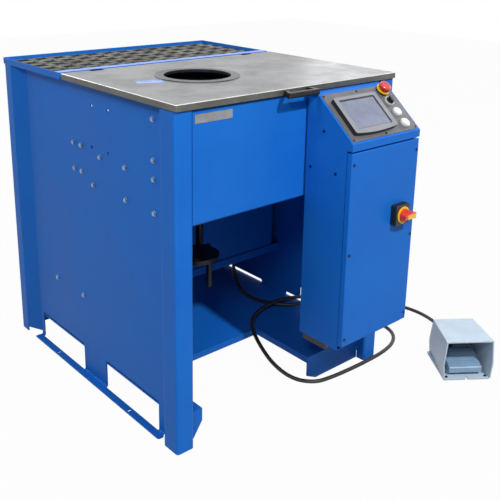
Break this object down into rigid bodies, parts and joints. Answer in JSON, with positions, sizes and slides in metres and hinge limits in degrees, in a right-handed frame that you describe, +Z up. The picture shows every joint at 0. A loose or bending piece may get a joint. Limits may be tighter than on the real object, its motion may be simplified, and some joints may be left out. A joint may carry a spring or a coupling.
{
  "type": "vertical hose crimping press",
  "caption": "Floor-standing hose crimping press with a hinged steel table, a wedge-driven die head, a depth stop, a control cabinet and a corded foot pedal.",
  "frame": {"origin": "middle of the footprint of the machine and its pedal, on the floor", "axes": "+X to the operator's right, +Y from the operator to the back, +Z up"},
  "size_m": [1.2324, 1.3324, 1.003],
  "materials": {
    "blue_paint": "semi-gloss powder coat",
    "table_steel": "ground steel sheet",
    "tread_steel": "dark tread plate",
    "black_steel": "black oxide",
    "bolt_steel": "zinc plated",
    "head_steel": "machined steel",
    "die_steel": "hardened steel",
    "cast_body": "painted cast iron",
    "valve_steel": "zinc plated",
    "console_black": "black anodised",
    "black_plastic": "matt moulded",
    "screen_glass": "touch screen",
    "white_plastic": "gloss",
    "red_plastic": "gloss",
    "yellow_plastic": "gloss",
    "brass": "turned",
    "pedal_paint": "light grey enamel",
    "treadle_grey": "ribbed",
    "cable_rubber": "matt"
  },
  "bodies": {
    "stand": {"left_wall": "blue_paint", "right_wall": "blue_paint", "base_plate": "blue_paint", "front_panel": "blue_paint", "back_panel": "blue_paint", "wall_bolts": "bolt_steel", "rear_rim": "blue_paint", "tread_plate": "tread_steel", "head_support": "blue_paint", "head_bottom_plate": "head_steel", "head_top_plate": "head_steel", "press_cylinder": "head_steel", "head_bolts": "bolt_steel", "stop_column": "black_steel", "drip_tray": "blue_paint", "oil_tank": "blue_paint", "electric_motor": "cast_body", "hydraulic_pump": "cast_body", "valve_block": "valve_steel", "pressure_pipe": "valve_steel", "filler_cap": "black_plastic", "cabinet_box": "blue_paint", "cabinet_cover": "blue_paint", "cabinet_screws": "black_steel", "console_plate": "console_black", "touch_panel": "black_plastic", "touch_glass": "screen_glass", "control_bezels": "black_plastic", "estop_base": "yellow_plastic", "switch_base": "yellow_plastic", "cable_entry": "black_plastic", "pedal_base": "pedal_paint", "pedal_guard": "pedal_paint", "pedal_gland": "black_plastic", "cable_gland": "black_plastic", "foot_cable": "cable_rubber"},
    "lid": {"table_lid": "table_steel", "table_ring": "table_steel", "lid_handle": "black_steel", "lid_hinge_knuckles": "bolt_steel"},
    "piston": {"cone_piston": "head_steel"},
    "stop": {"stop_carriage": "black_steel", "stop_disc": "black_steel", "stop_pad": "brass", "stop_knob": "black_plastic"},
    "estop_plunger": {"estop_stem": "red_plastic"},
    "estop_mushroom": {"estop_cap": "red_plastic"},
    "lower_push_button": {"lower_button": "white_plastic"},
    "upper_push_button": {"upper_button": "white_plastic"},
    "selector": {"selector_knob": "black_plastic"},
    "main_switch": {"switch_handle": "red_plastic"},
    "treadle": {"pedal_treadle": "treadle_grey"},
    "crimp_die_1": {"die_1": "die_steel"},
    "crimp_die_2": {"die_2": "die_steel"},
    "crimp_die_3": {"die_3": "die_steel"},
    "crimp_die_4": {"die_4": "die_steel"},
    "crimp_die_5": {"die_5": "die_steel"},
    "crimp_die_6": {"die_6": "die_steel"},
    "crimp_die_7": {"die_7": "die_steel"},
    "crimp_die_8": {"die_8": "die_steel"}
  },
  "joints": [
    {"name": "lid_hinge", "type": "hinge", "parent": "stand", "child": "lid", "pos_m": [-0.14022, 0.26596, 0.9975], "axis": [-1, 0, 0], "range_deg": [0, 95]},
    {"name": "piston_slide", "type": "slide", "parent": "stand", "child": "piston", "axis": [0, 0, 1], "range_m": [0, 0.056]},
    {"name": "stop_slide", "type": "slide", "parent": "stand", "child": "stop", "axis": [0, 0, 1], "range_m": [0, 0.15]},
    {"name": "estop_push", "type": "slide", "parent": "stand", "child": "estop_plunger", "axis": [0, 0.6526, -0.7577], "range_m": [0, 0.005]},
    {"name": "estop_twist", "type": "hinge", "parent": "estop_plunger", "child": "estop_mushroom", "pos_m": [0.15028, -0.38937, 0.97737], "axis": [0, 0.6526, -0.7577], "range_deg": [0, 35], "stiffness_Nm_per_rad": 0.2, "springref_deg": -11.46},
    {"name": "lower_button_push", "type": "slide", "parent": "stand", "child": "lower_push_button", "axis": [0, 0.6526, -0.7577], "range_m": [0, 0.003], "stiffness_N_per_m": 600, "springref_m": -0.002},
    {"name": "upper_button_push", "type": "slide", "parent": "stand", "child": "upper_push_button", "axis": [0, 0.6526, -0.7577], "range_m": [0, 0.003], "stiffness_N_per_m": 600, "springref_m": -0.002},
    {"name": "selector_turn", "type": "hinge", "parent": "stand", "child": "selector", "pos_m": [0.15028, -0.41015, 0.93836], "axis": [0, 0.6526, -0.7577], "range_deg": [-45, 45]},
    {"name": "main_switch_turn", "type": "hinge", "parent": "stand", "child": "main_switch", "pos_m": [0.11578, -0.51384, 0.618], "axis": [0, 1, 0], "range_deg": [0, 90]},
    {"name": "treadle_hinge", "type": "hinge", "parent": "stand", "child": "treadle", "pos_m": [0.48048, -0.50462, 0.034], "axis": [0.8059, -0.592, 0], "range_deg": [0, 4], "stiffness_Nm_per_rad": 10, "springref_deg": -11.46},
    {"name": "die_1_slide", "type": "slide", "parent": "stand", "child": "crimp_die_1", "axis": [-1, 0, 0], "range_m": [0, 0.014]},
    {"name": "die_2_slide", "type": "slide", "parent": "stand", "child": "crimp_die_2", "axis": [-0.7071, -0.7071, 0], "range_m": [0, 0.014]},
    {"name": "die_3_slide", "type": "slide", "parent": "stand", "child": "crimp_die_3", "axis": [0, -1, 0], "range_m": [0, 0.014]},
    {"name": "die_4_slide", "type": "slide", "parent": "stand", "child": "crimp_die_4", "axis": [0.7071, -0.7071, 0], "range_m": [0, 0.014]},
    {"name": "die_5_slide", "type": "slide", "parent": "stand", "child": "crimp_die_5", "axis": [1, 0, 0], "range_m": [0, 0.014]},
    {"name": "die_6_slide", "type": "slide", "parent": "stand", "child": "crimp_die_6", "axis": [0.7071, 0.7071, 0], "range_m": [0, 0.014]},
    {"name": "die_7_slide", "type": "slide", "parent": "stand", "child": "crimp_die_7", "axis": [0, 1, 0], "range_m": [0, 0.014]},
    {"name": "die_8_slide", "type": "slide", "parent": "stand", "child": "crimp_die_8", "axis": [-0.7071, 0.7071, 0], "range_m": [0, 0.014]}
  ],
  "couplings": [
    {"joint": "die_1_slide", "follows": "piston_slide", "ratio": 0.25},
    {"joint": "die_2_slide", "follows": "piston_slide", "ratio": 0.25},
    {"joint": "die_3_slide", "follows": "piston_slide", "ratio": 0.25},
    {"joint": "die_4_slide", "follows": "piston_slide", "ratio": 0.25},
    {"joint": "die_5_slide", "follows": "piston_slide", "ratio": 0.25},
    {"joint": "die_6_slide", "follows": "piston_slide", "ratio": 0.25},
    {"joint": "die_7_slide", "follows": "piston_slide", "ratio": 0.25},
    {"joint": "die_8_slide", "follows": "piston_slide", "ratio": 0.25}
  ]
}
